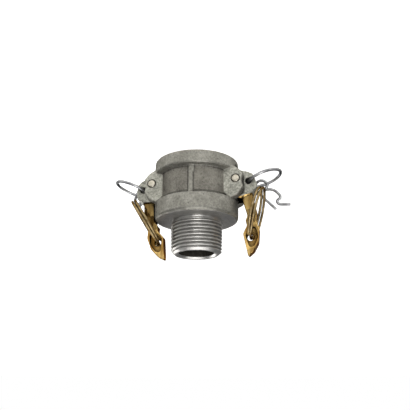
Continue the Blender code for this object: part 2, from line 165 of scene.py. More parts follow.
def grid_piece(name: str, rows: np.ndarray, wrap_rows: bool, wrap_columns: bool,
               caps: bool = False) -> Piece:
    """Makes a piece from a grid of points.

    Args:
        name: the piece's name
        rows: points in millimetres, as an array of rows, columns and 3
        wrap_rows: whether the last row joins the first
        wrap_columns: whether the last column joins the first
        caps: whether the first and last rows are closed by a face

    Returns:
        The piece, smooth, with welded points and its normals outward.
    """
    count, width = rows.shape[:2]
    shell = bmesh.new()
    grid = [[shell.verts.new(point) for point in row] for row in rows * MM]
    for i in range(count if wrap_rows else count - 1):
        low, high = grid[i], grid[(i + 1) % count]
        for j in range(width if wrap_columns else width - 1):
            k = (j + 1) % width
            shell.faces.new((low[j], low[k], high[k], high[j]))
    if caps:
        shell.faces.new(grid[0][::-1])
        shell.faces.new(grid[-1])
    bmesh.ops.remove_doubles(shell, verts=shell.verts, dist=MERGE)
    bmesh.ops.dissolve_degenerate(shell, edges=shell.edges, dist=MERGE)
    bmesh.ops.recalc_face_normals(shell, faces=shell.faces)
    mesh = bpy.data.meshes.new(name)
    shell.to_mesh(mesh)
    shell.free()
    mesh.shade_smooth()
    return new_piece(name, mesh)


def arc(centre: tuple[float, float], radius: float, start: float, end: float,
        steps: int) -> Outline:
    """Returns points on an arc in a plane.

    Args:
        centre: the arc's centre
        radius: its radius
        start: the angle where it starts, in degrees
        end: the angle where it ends, in degrees
        steps: the number of equal steps

    Returns:
        The points, both ends included.
    """
    angles = np.radians(np.linspace(start, end, steps + 1))
    return [(centre[0] + radius * math.cos(a), centre[1] + radius * math.sin(a)) for a in angles]


def smooth(knots: Outline, steps: int = 10) -> Outline:
    """Returns a smooth line through knots in a plane.

    Args:
        knots: the places that the line passes through
        steps: the number of steps between two knots

    Returns:
        The points of the line.
    """
    points = []
    last = len(knots) - 1
    for index in range(last):
        before, start = np.array(knots[max(index - 1, 0)]), np.array(knots[index])
        end, after = np.array(knots[index + 1]), np.array(knots[min(index + 2, last)])
        for step in range(steps):
            t = step / steps
            place = 0.5 * (2 * start + (end - before) * t
                           + (2 * before - 5 * start + 4 * end - after) * t * t
                           + (3 * start - before - 3 * end + after) * t ** 3)
            points.append(tuple(place))
    return points + [tuple(knots[-1])]


def turned(name: str, profile: Outline, steps: int, axis: Axis = Axis.Z) -> Piece:
    """Turns a closed profile about an axis.

    Args:
        name: the piece's name
        profile: (radius, height) pairs round the section
        steps: the number of steps in a full turn
        axis: the axis that the piece is turned about

    Returns:
        The turned piece, around the origin.
    """
    angles = np.linspace(0, FULL_TURN, steps, endpoint=False)
    section = np.array(profile)
    radius, height = section[:, :1], section[:, 1:]
    flat = radius * np.cos(angles), radius * np.sin(angles), height + 0 * angles
    rows = np.stack([flat[index] for index in axis.value], axis=-1)
    return grid_piece(name, rows, wrap_rows=True, wrap_columns=True)


def wire(name: str, path: np.ndarray, radius: float, closed: bool = False, sides: int = 20,
         end_chamfer: float = 0.3) -> Piece:
    """Sweeps a round wire along a path.

    Args:
        name: the piece's name
        path: points in millimetres, as an array of points and 3
        radius: the wire's radius
        closed: whether the wire joins its own start
        sides: the number of sides of its section
        end_chamfer: how much of the radius the cut ends are broken by

    Returns:
        The wire, smooth, with closed ends.
    """
    scale = np.ones(len(path))
    if not closed:
        step = end_chamfer * radius
        first, last = path[0] - path[1], path[-1] - path[-2]
        first, last = first / np.linalg.norm(first), last / np.linalg.norm(last)
        path = np.vstack([path[0] + first * step, path, path[-1] + last * step])
        scale = np.concatenate([[1 - end_chamfer], scale, [1 - end_chamfer]])
    tangent = np.roll(path, -1, axis=0) - np.roll(path, 1, axis=0)
    if not closed:
        tangent[0], tangent[-1] = path[1] - path[0], path[-1] - path[-2]
    tangent /= np.linalg.norm(tangent, axis=1, keepdims=True)
    aside = (0.0, 0.0, 1.0) if abs(tangent[0][2]) < STEEP else (1.0, 0.0, 0.0)
    across = np.cross(tangent[0], aside)
    sections = []
    angles = np.linspace(0, FULL_TURN, sides, endpoint=False)[:, None]
    for point, along, factor in zip(path, tangent, scale):
        across = across - along * np.dot(across, along)
        across /= np.linalg.norm(across)
        up = np.cross(along, across)
        sections.append(point + radius * factor * (np.cos(angles) * across + np.sin(angles) * up))
    if closed:
        # The last section is the first one, turned on by what the sweep has drifted.
        drift = np.cross(across, sections[0][0] - path[0])
        turn = math.asin(max(-1.0, min(1.0, float(np.dot(drift, tangent[0])) / radius)))
        shift = round(turn / (FULL_TURN / sides))
        sections.append(np.roll(sections[0], -shift, axis=0))
    return grid_piece(name, np.array(sections), wrap_rows=False, wrap_columns=True,
                      caps=not closed)


def freeze(piece: Piece) -> None:
    """Applies the modifiers of a piece to its mesh.

    Args:
        piece: the piece
    """
    graph = bpy.context.evaluated_depsgraph_get()
    mesh = bpy.data.meshes.new_from_object(piece.evaluated_get(graph))
    piece.modifiers.clear()
    piece.data = mesh


def refined(name: str, node: Piece, voxel: float, passes: int,
            cutter: Piece | None = None) -> Piece:
    """Makes a fine, rounded copy of a CAD node.

    Args:
        name: the new piece's name
        node: the CAD node
        voxel: the size of the grid that the surface is resampled on
        passes: the number of smoothing passes, which round its edges
        cutter: a solid to cut away first

    Returns:
        The piece, with quads all over.
    """
    piece = new_piece(name, node.data.copy())
    piece.data.materials.clear()
    if cutter:
        cut = piece.modifiers.new("cut", "BOOLEAN")
        cut.object = cutter
        cut.operation = "DIFFERENCE"
        cut.solver = "EXACT"
    grid = piece.modifiers.new("grid", "REMESH")
    grid.mode = "VOXEL"
    grid.voxel_size = voxel * MM
    soften = piece.modifiers.new("soften", "SMOOTH")
    soften.factor = SOFTEN
    soften.iterations = passes
    bpy.context.view_layer.update()
    freeze(piece)
    piece.data.shade_smooth()
    if cutter:
        bpy.data.objects.remove(cutter)
    return piece


def face_facts(mesh: bpy.types.Mesh) -> tuple[np.ndarray, np.ndarray]:
    """Reads the centres and normals of a mesh's faces.

    Args:
        mesh: the mesh

    Returns:
        The centres, in millimetres, and the normals, as arrays of faces and 3.
    """
    centres = np.empty(3 * len(mesh.polygons))
    normals = np.empty(3 * len(mesh.polygons))
    mesh.polygons.foreach_get("center", centres)
    mesh.polygons.foreach_get("normal", normals)
    return centres.reshape(-1, 3) / MM, normals.reshape(-1, 3)


def dress(piece: Piece, *finishes: "Finish", zones: np.ndarray | None = None) -> None:
    """Gives a piece its finishes.

    Args:
        piece: the piece
        finishes: its finishes, in the order of its material slots
        zones: the slot number of each face, or nothing for the first slot all over
    """
    for finish in finishes:
        piece.data.materials.append(finish.material())
    if zones is not None:
        piece.data.polygons.foreach_set("material_index", zones.astype(np.int32))
        piece.data.update()


def report(piece: Piece) -> None:
    """Logs a piece by its name, with its number of faces."""
    LOG.info("%s: %d faces", piece.name, len(piece.data.polygons))


def linear(code: str) -> tuple[float, float, float, float]:
    """Turns an sRGB colour to a linear one.

    Args:
        code: the colour as six hex digits, such as #A0A0A0

    Returns:
        Linear red, green, blue and alpha.
    """
    shares = [int(code[at:at + 2], 16) / 255 for at in (1, 3, 5)]
    low, slope, offset, power = 0.04045, 12.92, 0.055, 2.4
    values = [s / slope if s <= low else ((s + offset) / (1 + offset)) ** power for s in shares]
    return (*values, 1.0)


def add_node(tree: Tree, kind: str, settings: dict[str | int, object] | None = None,
             links: dict[str | int, Socket] | None = None) -> bpy.types.Node:
    """Adds a node to a tree.

    Args:
        tree: the node tree
        kind: the node's type
        settings: values for the node's own attributes, or for its inputs by name or number
        links: output sockets, by the name or number of the input that each one feeds

    Returns:
        The new node.
    """
    node = tree.nodes.new(kind)
    for name, value in (settings or {}).items():
        if isinstance(name, str) and hasattr(node, name):
            setattr(node, name, value)
        else:
            node.inputs[name].default_value = value
    for name, source in (links or {}).items():
        tree.links.new(source, node.inputs[name])
    return node


def per_mm(size: float) -> float:
    """Returns the texture scale that gives a pattern of a size in millimetres."""
    return 1 / (size * MM)


def around_axis(tree: Tree, place: Socket, across: tuple[float, float, float]) -> Socket:
    """Measures how far places lie from an axis through the origin.

    Args:
        tree: the material's node tree
        place: the socket with the place
        across: 1 for each direction across the axis and 0 for the one along it

    Returns:
        The socket with the distance, in metres.
    """
    flat = add_node(tree, "ShaderNodeVectorMath", {"operation": "MULTIPLY", 1: across},
                    {0: place})
    return add_node(tree, "ShaderNodeVectorMath", {"operation": "LENGTH"},
                    {0: flat.outputs[0]}).outputs["Value"]


def around_pin(tree: Tree, place: Socket) -> Socket:
    """Measures how far places lie from the axis of the pin on their side.

    Args:
        tree: the material's node tree
        place: the socket with the place on the piece

    Returns:
        The socket with the distance, in metres.
    """
    halves = add_node(tree, "ShaderNodeVectorMath", {"operation": "ABSOLUTE"}, {0: place})
    local = add_node(tree, "ShaderNodeVectorMath",
                     {"operation": "SUBTRACT", 1: (PIN_DISTANCE * MM, 0.0, PIN_HEIGHT * MM)},
                     {0: halves.outputs[0]})
    return around_axis(tree, local.outputs[0], (1.0, 0.0, 1.0))


@dataclass(frozen=True)
class Finish:
    """A material and the way its surface was made.

    Its two colours mix in blotches. The colour is darkened by painted shade in a narrow
    corner, as deep as the crevice, and scaled for wear on a sharp edge. Gloss is what a pattern
    takes from the roughness and adds to it, and relief is how strongly it stands out.
    """

    name: str = "bare metal"
    colour: str = "#A0A0A0"
    second: str = "#909090"
    metallic: float = 1.0
    roughness: float = 0.4
    grazing: str = "#FFFFFF"
    crevice: float = 2.2
    # Painted shade: the factor on the colour in a narrow corner.
    hollow: float = 0.25
    edge: float = 1.0
    blotch: float = 5.0
    blotch_detail: float = 3.0
    gloss: tuple[float, float] = (-0.08, 0.1)
    relief: float = 0.8

    def material(self) -> bpy.types.Material:
        """Makes the finish's material at its first use.

        Returns:
            The material.
        """
        if self.name in bpy.data.materials:
            return bpy.data.materials[self.name]
        material = bpy.data.materials.new(self.name)
        material.use_nodes = True
        tree = material.node_tree
        shader = tree.nodes["Principled BSDF"]
        shader.inputs["Metallic"].default_value = self.metallic
        shader.inputs["Roughness"].default_value = self.roughness
        shader.inputs["Specular Tint"].default_value = linear(self.grazing)
        place = add_node(tree, "ShaderNodeTexCoord").outputs["Object"]
        for name, source in self.surface(tree, place).items():
            tree.links.new(source, shader.inputs[name])
        return material

    def surface(self, tree: Tree, place: Socket) -> dict[str, Socket]:
        """Adds the nodes that are the finish's own.

        Args:
            tree: the material's node tree
            place: the socket with the place on the piece, in metres

        Returns:
            The sockets that feed the shader, by the name of its input.
        """
        return {"Base Color": self.blotches(tree, place)}

    def blotches(self, tree: Tree, place: Socket) -> Socket:
        """Mixes the finish's two colours in soft blotches.

        Args:
            tree: the material's node tree
            place: the socket with the place on the piece

        Returns:
            The colour socket.
        """
        noise = add_node(tree, "ShaderNodeTexNoise",
                         {"Scale": per_mm(self.blotch), "Detail": self.blotch_detail},
                         {"Vector": place})
        contrast = add_node(tree, "ShaderNodeMapRange", NOISE_CORE, {"Value": noise.outputs[0]})
        mix = add_node(tree, "ShaderNodeMix",
                       {"data_type": "RGBA", 6: linear(self.colour), 7: linear(self.second)},
                       {0: contrast.outputs[0]})
        return mix.outputs[2]

    def worn_tone(self, tree: Tree, place: Socket, shades: list[Socket]) -> Socket:
        """Shades the blotches by patterns, paints shade in the hollows and scales sharp edges for
        wear.

        Args:
            tree: the material's node tree
            place: the socket with the place on the piece
            shades: sockets with the patterns' factors on the colour

        Returns:
            The shaded colour socket.
        """
        bend = add_node(tree, "ShaderNodeNewGeometry").outputs["Pointiness"]
        rubbed = add_node(tree, "ShaderNodeMapRange",
                          {**FLAT_TO_SHARP, "To Min": 1.0, "To Max": self.edge}, {"Value": bend})
        # Painted shade: ambient occlusion darkens the colour in narrow corners.
        open_air = add_node(tree, "ShaderNodeAmbientOcclusion",
                            {"samples": 8, "Distance": self.crevice * MM}).outputs["AO"]
        painted_shade = add_node(tree, "ShaderNodeMapRange",
                         {**NARROW_TO_OPEN, "To Min": self.hollow, "To Max": 1.0},
                         {"Value": open_air})
        tone = self.blotches(tree, place)
        for shade in [rubbed.outputs[0], painted_shade.outputs[0], *shades]:
            tone = add_node(tree, "ShaderNodeVectorMath", {"operation": "SCALE"},
                            {0: tone, 3: shade}).outputs[0]
        return tone

    def worked(self, tree: Tree, pattern: Socket, depth: float) -> dict[str, Socket]:
        """Varies the gloss and the height of the surface by one pattern.

        Args:
            tree: the material's node tree
            pattern: the socket with the pattern
            depth: how deep the pattern is, in millimetres

        Returns:
            The roughness and the normal, by the name of the shader's input.
        """
        gloss = add_node(tree, "ShaderNodeMapRange",
                         {**NOISE_SPREAD, "To Min": self.roughness + self.gloss[0],
                          "To Max": self.roughness + self.gloss[1]}, {"Value": pattern})
        relief = add_node(tree, "ShaderNodeBump",
                          {"Distance": depth * MM, "Strength": self.relief},
                          {"Height": pattern})
        return {"Roughness": gloss.outputs[0], "Normal": relief.outputs[0]}


@dataclass(frozen=True)
class CastAluminium(Finish):
    """Aluminium cast in green sand and shot blasted: warm grey, matt, with a print of grains."""

    name: str = "sand-cast aluminium"
    colour: str = "#929088"
    second: str = "#807E76"
    metallic: float = 0.75
    roughness: float = 0.48
    grazing: str = "#5A5A5A"
    blotch: float = 7.0
    gloss: tuple[float, float] = (-0.08, 0.08)
    # Sand grains are 0.3 mm, too fine for the render, so their print is drawn coarser.
    grain: float = 1.3
    grain_depth: float = 0.14
    speckle: tuple[float, float] = (0.62, 1.25)
    # A pit's rim runs between these two shares of the pits' spacing.
    pit_spacing: float = 4.5
    pit_rim: tuple[float, float] = (0.03, 0.11)
    pit_depth: float = 0.15
    pit_tone: float = 0.35

    def surface(self, tree: Tree, place: Socket) -> dict[str, Socket]:
        """Adds blotches, sand grain, a few gas pits and painted shade in the hollows.

        Args:
            tree: the material's node tree
            place: the socket with the place on the piece

        Returns:
            The sockets that feed the shader, by the name of its input.
        """
        grain = add_node(tree, "ShaderNodeTexNoise",
                         {"Scale": per_mm(self.grain), "Detail": 6.0, "Roughness": 0.75},
                         {"Vector": place})
        speckle = add_node(tree, "ShaderNodeMapRange",
                           {**NOISE_CORE, "To Min": self.speckle[0], "To Max": self.speckle[1]},
                           {"Value": grain.outputs[0]})
        pits = add_node(tree, "ShaderNodeTexVoronoi",
                        {"Scale": per_mm(self.pit_spacing), "Randomness": 1.0}, {"Vector": place})
        pit = add_node(tree, "ShaderNodeMapRange",
                       {"From Min": self.pit_rim[0], "From Max": self.pit_rim[1],
                        "To Min": self.pit_tone, "To Max": 1.0},
                       {"Value": pits.outputs["Distance"]})
        sand = self.worked(tree, grain.outputs[0], self.grain_depth)
        relief = add_node(tree, "ShaderNodeBump",
                          {"Distance": self.pit_depth * MM, "Strength": self.relief},
                          {"Height": pit.outputs[0], "Normal": sand["Normal"]})
        tone = self.worn_tone(tree, place, [speckle.outputs[0], pit.outputs[0]])
        return {**sand, "Base Color": tone, "Normal": relief.outputs[0]}


@dataclass(frozen=True)
class TurnedAluminium(Finish):
    """Aluminium faced and bored on a lathe: brighter, with fine rings that stretch the gloss."""

    name: str = "turned aluminium"
    colour: str = "#BDBBB7"
    second: str = "#ACAAA6"
    roughness: float = 0.33
    metallic: float = 0.85
    grazing: str = "#A0A0A0"
    crevice: float = 1.6
    hollow: float = 0.55
    edge: float = 1.1
    blotch: float = 3.0
    blotch_detail: float = 5.0
    gloss: tuple[float, float] = (-0.07, 0.09)
    relief: float = 0.6
    # The tool's feed is 0.15 mm a turn, too fine for the render, so the rings are drawn wider.
    ring: float = 0.32
    ring_depth: float = 0.02

    def surface(self, tree: Tree, place: Socket) -> dict[str, Socket]:
        """Adds tool rings by the distance from the pipe axis and along it.

        Args:
            tree: the material's node tree
            place: the socket with the place on the piece

        Returns:
            The sockets that feed the shader, by the name of its input.
        """
        radius = around_axis(tree, place, (1.0, 1.0, 0.0))
        height = add_node(tree, "ShaderNodeSeparateXYZ", {}, {0: place}).outputs[2]
        section = add_node(tree, "ShaderNodeCombineXYZ", {}, {0: radius, 2: height})
        rings = add_node(tree, "ShaderNodeTexNoise",
                         {"Scale": per_mm(self.ring), "Detail": 2.0},
                         {"Vector": section.outputs[0]})
        return {"Base Color": self.worn_tone(tree, place, []),
                **self.worked(tree, rings.outputs[0], self.ring_depth)}


@dataclass(frozen=True)
class GroundAluminium(Finish):
    """Casting cheeks dressed on a belt: lighter than the cast skin, with a coarse grain left."""

    name: str = "belt-ground aluminium"
    colour: str = "#9A998F"
    second: str = "#85847B"
    metallic: float = 0.7
    roughness: float = 0.5
    edge: float = 1.2
    # A coarse belt leaves scratches of 0.2 mm, drawn coarser here so that they show.
    grain: float = 1.4
    grain_depth: float = 0.07
    speckle: tuple[float, float] = (0.5, 1.5)
    # Painted shade round the pin, for the gap at its hole, reaches from the pin to this radius
    # and fades out beyond it.
    grease_radius: float = 2.95
    grease_fade: float = 0.3
    grease_tone: float = 0.18

    def surface(self, tree: Tree, place: Socket) -> dict[str, Socket]:
        """Adds a coarse speckle, its relief and a dark ring of painted shade round the pin.

        Args:
            tree: the material's node tree
            place: the socket with the place on the piece

        Returns:
            The sockets that feed the shader, by the name of its input.
        """
        grain = add_node(tree, "ShaderNodeTexNoise",
                         {"Scale": per_mm(self.grain), "Detail": 5.0, "Roughness": 0.75},
                         {"Vector": place})
        speckle = add_node(tree, "ShaderNodeMapRange",
                           {**NOISE_CORE, "To Min": self.speckle[0], "To Max": self.speckle[1]},
                           {"Value": grain.outputs[0]})
        relief = add_node(tree, "ShaderNodeBump",
                          {"Distance": self.grain_depth * MM, "Strength": self.relief},
                          {"Height": grain.outputs[0]})
        gap_shade = add_node(tree, "ShaderNodeMapRange",
                          {"From Min": self.grease_radius * MM,
                           "From Max": (self.grease_radius + self.grease_fade) * MM,
                           "To Min": self.grease_tone, "To Max": 1.0},
                          {"Value": around_pin(tree, place)})
        tone = self.worn_tone(tree, place, [speckle.outputs[0], gap_shade.outputs[0]])
        return {"Base Color": tone, "Normal": relief.outputs[0]}


@dataclass(frozen=True)
class PolishedBrass(Finish):
    """Yellow brass, cast and tumbled bright: a mirror that waves a little, with painted shade in
    hollows.
    """

    name: str = "tumbled yellow brass"
    colour: str = "#CBAC6E"
    second: str = "#765628"
    roughness: float = 0.18
    grazing: str = "#6E5A34"
    crevice: float = 7.0
    hollow: float = 0.2
    edge: float = 1.4
    gloss: tuple[float, float] = (-0.05, 0.1)
    relief: float = 1.0
    wave: float = 4.5
    wave_depth: float = 1.0
    # Waves and patches are drawn out along the arm, where they are this share as dense.
    stretch: float = 0.35
    # Painted shade darkens the arm beside the collar and fades out between these two heights.
    tarnish: float = 0.45
    tarnish_low: float = 34.0
    tarnish_high: float = 46.0

    def surface(self, tree: Tree, place: Socket) -> dict[str, Socket]:
        """Adds a slow wave in the polish, brown patches and painted shade beside the collar.

        Args:
            tree: the material's node tree
            place: the socket with the place on the piece

        Returns:
            The sockets that feed the shader, by the name of its input.
        """
        drawn = add_node(tree, "ShaderNodeVectorMath",
                         {"operation": "MULTIPLY", 1: (1.0, 1.0, self.stretch)},
                         {0: place}).outputs[0]
        wave = add_node(tree, "ShaderNodeTexNoise",
                        {"Scale": per_mm(self.wave), "Detail": 1.5, "Roughness": 0.4},
                        {"Vector": drawn})
        height = add_node(tree, "ShaderNodeSeparateXYZ", {}, {0: place}).outputs[2]
        tarnish = add_node(tree, "ShaderNodeMapRange",
                           {"From Min": self.tarnish_low * MM, "From Max": self.tarnish_high * MM,
                            "To Min": self.tarnish, "To Max": 1.0}, {"Value": height})
        return {"Base Color": self.worn_tone(tree, drawn, [tarnish.outputs[0]]),
                **self.worked(tree, wave.outputs[0], self.wave_depth)}


@dataclass(frozen=True)
class SpringSteel(Finish):
    """Bright drawn spring steel wire: light grey, with rubbed spots in colour and gloss."""

    name: str = "bright spring steel"
    colour: str = "#B0B0B1"
    second: str = "#8A8A8C"
    roughness: float = 0.36
    grazing: str = "#404040"
    blotch: float = 2.2
    relief: float = 0.5
    # On a 2 mm wire the rubbed spots are half as wide; they are drawn so that they show.
    spot: float = 1.4
    spot_depth: float = 0.03

    def surface(self, tree: Tree, place: Socket) -> dict[str, Socket]:
        """Adds rubbed spots in colour and gloss.

        Args:
            tree: the material's node tree
            place: the socket with the place on the piece

        Returns:
            The sockets that feed the shader, by the name of its input.
        """
        spots = add_node(tree, "ShaderNodeTexNoise", {"Scale": per_mm(self.spot), "Detail": 3.0},
                         {"Vector": place})
        return {"Base Color": self.blotches(tree, place),
                **self.worked(tree, spots.outputs[0], self.spot_depth)}


@dataclass(frozen=True)
class PinSteel(Finish):
    """Stainless pin with faced ends: pale and warm, with faint rings round its own axis."""

    name: str = "faced stainless steel"
    colour: str = "#C2BCAE"
    second: str = "#A9A394"
    roughness: float = 0.38
    blotch: float = 1.6
    gloss: tuple[float, float] = (-0.06, 0.1)
    relief: float = 0.5
    # The facing tool's rings are 0.1 mm wide, drawn wider here so that they show.
    ring: float = 0.35
    ring_depth: float = 0.02

    def surface(self, tree: Tree, place: Socket) -> dict[str, Socket]:
        """Adds rings by the distance from the pin's own axis.

        Args:
            tree: the material's node tree
            place: the socket with the place on the piece

        Returns:
            The sockets that feed the shader, by the name of its input.
        """
        rings = add_node(tree, "ShaderNodeTexNoise", {"Scale": per_mm(self.ring), "Detail": 1.0},
                         {"Vector": around_pin(tree, place)})
        return {"Base Color": self.blotches(tree, place),
                **self.worked(tree, rings.outputs[0], self.ring_depth)}


@dataclass(frozen=True)
class NitrileRubber(Finish):
    """Moulded nitrile rubber: black, matt, with a dusty bloom."""

    name: str = "moulded nitrile rubber"
    colour: str = "#1D1C1B"
    second: str = "#2B2A28"
    metallic: float = 0.0
    roughness: float = 0.68
    blotch: float = 4.0
    relief: float = 0.4
    skin: float = 0.5
    skin_depth: float = 0.03

    def surface(self, tree: Tree, place: Socket) -> dict[str, Socket]:
        """Adds bloom and a fine mould texture.

        Args:
            tree: the material's node tree
            place: the socket with the place on the piece

        Returns:
            The sockets that feed the shader, by the name of its input.
        """
        skin = add_node(tree, "ShaderNodeTexNoise", {"Scale": per_mm(self.skin), "Detail": 2.0},
                        {"Vector": place})
        relief = add_node(tree, "ShaderNodeBump",
                          {"Distance": self.skin_depth * MM, "Strength": self.relief},
                          {"Height": skin.outputs[0]})
        return {"Base Color": self.blotches(tree, place), "Normal": relief.outputs[0]}


@dataclass(frozen=True)
class LightTable(Finish):
    """The studio's table: opal white and lit from within, except the top of its plinth."""

    name: str = "opal light table"
    colour: str = "#F6F6F4"
    second: str = "#F2F2F0"
    metallic: float = 0.0
    roughness: float = 0.9
    blotch: float = 400.0
    # The glow grows between the near and the far distance, to meet the white horizon.
    glow: float = 0.9
    far_glow: float = 1.15
    near: float = 130.0
    far: float = 420.0
    dark_top: float = 0.5

    def surface(self, tree: Tree, place: Socket) -> dict[str, Socket]:
        """Adds the glow, which stops just under the top of the plinth.

        Args:
            tree: the material's node tree
            place: the socket with the place on the piece

        Returns:
            The sockets that feed the shader, by the name of its input.
        """
        height = add_node(tree, "ShaderNodeSeparateXYZ", {}, {0: place}).outputs[2]
        lit = add_node(tree, "ShaderNodeMapRange",
                       {"From Min": -self.dark_top * MM, "From Max": -self.dark_top * MM / 2,
                        "To Min": 1.0, "To Max": 0.0}, {"Value": height})
        distance = add_node(tree, "ShaderNodeVectorMath", {"operation": "LENGTH"}, {0: place})
        level = add_node(tree, "ShaderNodeMapRange",
                         {"From Min": self.near * MM, "From Max": self.far * MM,
                          "To Min": self.glow, "To Max": self.far_glow},
                         {"Value": distance.outputs["Value"]})
        glow = add_node(tree, "ShaderNodeMath", {"operation": "MULTIPLY"},
                        {0: lit.outputs[0], 1: level.outputs[0]})
        tone = self.blotches(tree, place)
        return {"Base Color": tone, "Emission Color": tone, "Emission Strength": glow.outputs[0]}


CAST = CastAluminium()
# The sand core leaves the waterway rough; its colour is darkened as painted shade for the inside
# of the pipe.
SHADED_BORE_CAST = CastAluminium(name="sooty cast waterway", colour="#4A4741", second="#34322D",
                          roughness=0.7)
# Painted shade: the recessed panels are coloured a little darker, for the shade of the rim and
# collar over them.
SHADED_PANEL_CAST = CastAluminium(name="cast aluminium behind the rim", colour="#7F7C74",
                           second="#6E6B64")
# Painted shade: a dark line in the corners round each panel.
CORNER_SHADE_CAST = CastAluminium(name="sooty cast seam", colour="#62605A", second="#52504B")
TURNED = TurnedAluminium()
GROUND = GroundAluminium()
BRASS = PolishedBrass()
# Drawn wire isn't tumbled: it is duller and browner, with no waves to speak of.
RING_BRASS = PolishedBrass(name="drawn brass wire", colour="#9C8A68", second="#6F5B3B",
                           roughness=0.36, wave=2.5, wave_depth=0.1, blotch=3.0, stretch=1.0,
                           grazing="#5A5A5A", crevice=1.5, tarnish=0.8)
STEEL = SpringSteel()
PIN = PinSteel()
RUBBER = NitrileRubber()
TABLE = LightTable()


@dataclass
class Casting:
    """The body casting, without its threaded stub, dressed from the CAD body."""

    voxel: float = 0.36
    passes: int = 7
    collar_top: float = 39.3
    collar_bottom: float = 27.5
    stub_reach: float = 0.2
    cutter_inset: float = 4.0
    cutter_size: float = 40.0
    cutter_steps: int = 96
    waterway_radius: float = 11.25
    waterway_skin: float = 2.0
    turn_steps: int = 64
    socket_reach: float = 20.4
    socket_top: float = 34.6
    waist_radius: float = 23.5
    waist_skin: float = 0.35
    rim_top: float = 8.0
    panel_low: float = 9.1
    # A rib's two sides across the body, then the side of its foot and the foot's top.
    rib: tuple[float, float] = (-2.2, 0.4)
    rib_foot: tuple[float, float] = (-3.2, 13.6)
    # Widths of the painted shade along a panel's border, and below the collar.
    seam: float = 0.75
    collar_seam: float = 2.5
    ear_face: float = 12.7
    cheek_start: float = 19.5
    # A face belongs to a flat when it is this near, and leans no more than these shares.
    near: float = 0.25
    level: float = 0.93
    upright: float = 0.97
    body: str = "coupler"

    def stub_cutter(self) -> Piece:
        """Makes the ring that takes the CAD stub away, down to just above the shoulder.

        Returns:
            The cutter.
        """
        inner, outer = self.waterway_radius - self.cutter_inset, self.cutter_size
        low, high = self.collar_top + self.stub_reach, self.collar_top + self.cutter_size
        profile = [(outer, high), (outer, low), (inner, low), (inner, high)]
        return turned("stub_cutter", profile, self.cutter_steps)

    def true_round(self, mesh: bpy.types.Mesh) -> None:
        """Lifts the flats that the CAD turning left, so that turned faces are truly round.

        Args:
            mesh: the casting's mesh
        """
        points = np.empty(3 * len(mesh.vertices))
        mesh.vertices.foreach_get("co", points)
        points = points.reshape(-1, 3)
        half = math.pi / self.turn_steps
        angle = np.mod(np.arctan2(points[:, 1], points[:, 0]), 2 * half) - half
        points[:, :2] *= (np.cos(angle) / math.cos(half))[:, None]
        mesh.vertices.foreach_set("co", points.ravel())
        mesh.update()

    def zones(self, mesh: bpy.types.Mesh) -> np.ndarray:
        """Sorts the casting's faces by how their skin was made and where shade is painted on it.

        Args:
            mesh: the casting's mesh

        Returns:
            The number of each face's zone.
        """
        centres, normals = face_facts(mesh)
        out, height = abs(centres[:, 0]), centres[:, 2]
        radius = np.hypot(centres[:, 0], centres[:, 1])
        zone = np.full(len(centres), Zone.CAST.value)
        shoulder = (normals[:, 2] > self.level) & (abs(height - self.collar_top) < self.near)
        mouth = (normals[:, 2] < -self.level) & (height < self.near)
        inside = (radius < self.socket_reach) & (height < self.socket_top + self.near)
        zone[shoulder | mouth | inside] = Zone.TURNED.value
        cheeks = ((abs(normals[:, 1]) > self.upright) & (out > self.cheek_start)
                  & (abs(abs(centres[:, 1]) - self.ear_face) < self.near))
        zone[cheeks] = Zone.GROUND.value
        waterway = ((radius < self.waterway_radius + self.waterway_skin)
                    & (height > self.socket_top))
        zone[waterway] = Zone.WATERWAY.value
        # Painted shade: the recessed panels take a darker colour, and their borders a darker one
        # still.
        panel = ((radius > self.socket_reach) & (radius < self.waist_radius + self.waist_skin)
                 & (height > self.rim_top) & (height < self.socket_top))
        zone[panel] = Zone.PANEL.value
        zone[panel & self.seams(centres)] = Zone.SEAM.value
        return zone

    def seams(self, centres: np.ndarray) -> np.ndarray:
        """Finds what lies along a panel's border, where shade is painted: at the rim, the collar
        or a rib.

        Args:
            centres: the centres of the casting's faces

        Returns:
            Whether each face lies there.
        """
        height = centres[:, 2]
        across = centres[:, 0] * -np.sign(centres[:, 1])
        foot_side, foot_top = self.rib_foot
        low = np.where(height < foot_top, foot_side, self.rib[0])
        beside_rib = (((across > self.rib[1]) & (across < self.rib[1] + self.seam))
                      | ((across < low) & (across > low - self.seam)))
        return (beside_rib | (height > self.collar_bottom - self.collar_seam)
                | (height < self.panel_low + self.seam))

    def build(self, frame: dict[str, dict]) -> None:
        """Builds the casting over the CAD body.

        Args:
            frame: the CAD frame, with its nodes by name
        """
        piece = refined("casting", frame["nodes"]["body"], self.voxel, self.passes,
                        self.stub_cutter())
        self.true_round(piece.data)
        dress(piece, CAST, TURNED, GROUND, SHADED_BORE_CAST, SHADED_PANEL_CAST, CORNER_SHADE_CAST,
              zones=self.zones(piece.data))
        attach(piece, self.body)
        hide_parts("body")
        report(piece)


